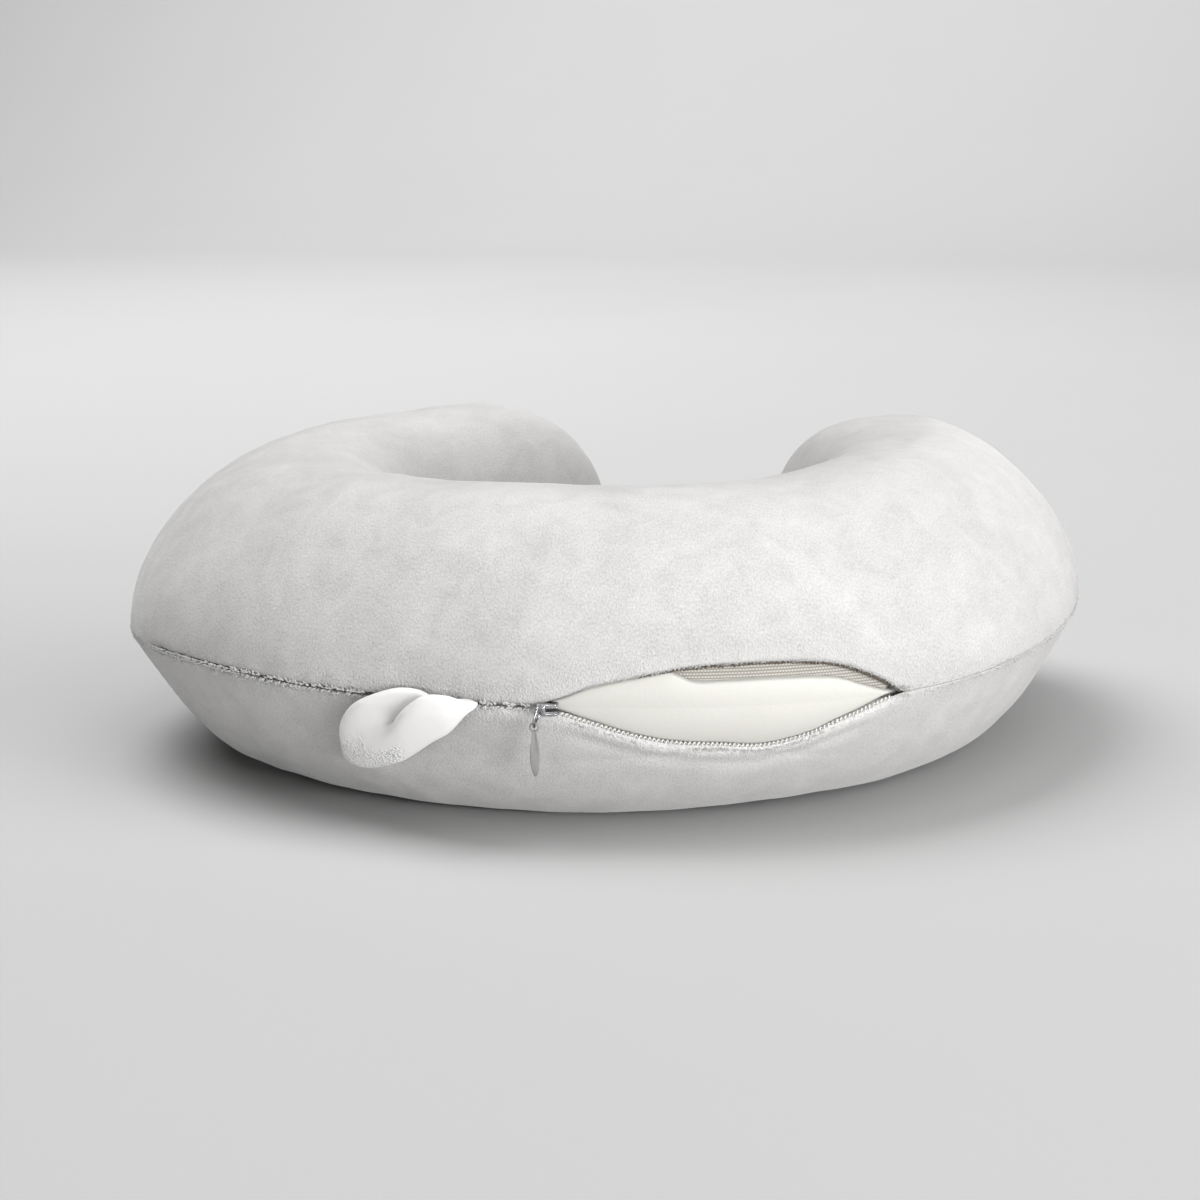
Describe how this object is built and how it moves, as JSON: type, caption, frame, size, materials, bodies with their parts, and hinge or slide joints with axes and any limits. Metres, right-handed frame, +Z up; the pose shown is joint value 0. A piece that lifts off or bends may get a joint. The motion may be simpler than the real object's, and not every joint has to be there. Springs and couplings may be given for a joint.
{
  "type": "travel pillow",
  "caption": "Horseshoe neck pillow: a foam core in a two-panel velour cover with a seam zip, part open, and a hanging loop.",
  "frame": {"origin": "middle of the outer box, on the surface the pillow rests on", "axes": "+Z up, +Y from the back of the neck towards the open side between the arms, +X towards the open end of the zip"},
  "size_m": [0.31, 0.2878, 0.0973],
  "materials": {
    "velour_upper": "short pile velour",
    "velour_lower": "short pile velour",
    "foam": "smooth moulded foam",
    "zip_tape": "woven tape",
    "zip_coil": "nylon coil",
    "slider_chrome": "polished",
    "pull_enamel": "satin enamel",
    "loop_velour": "short pile velour band"
  },
  "bodies": {
    "root": {"cover_upper": "velour_upper", "cover_lower": "velour_lower", "foam_core": "foam", "zip_tape_upper": "zip_tape", "zip_tape_lower": "zip_tape", "zip_coil_upper": "zip_coil", "zip_coil_lower": "zip_coil", "zip_slider": "slider_chrome", "zip_bail": "slider_chrome", "zip_pull": "pull_enamel", "hang_loop": "loop_velour"}
  },
  "joints": []
}
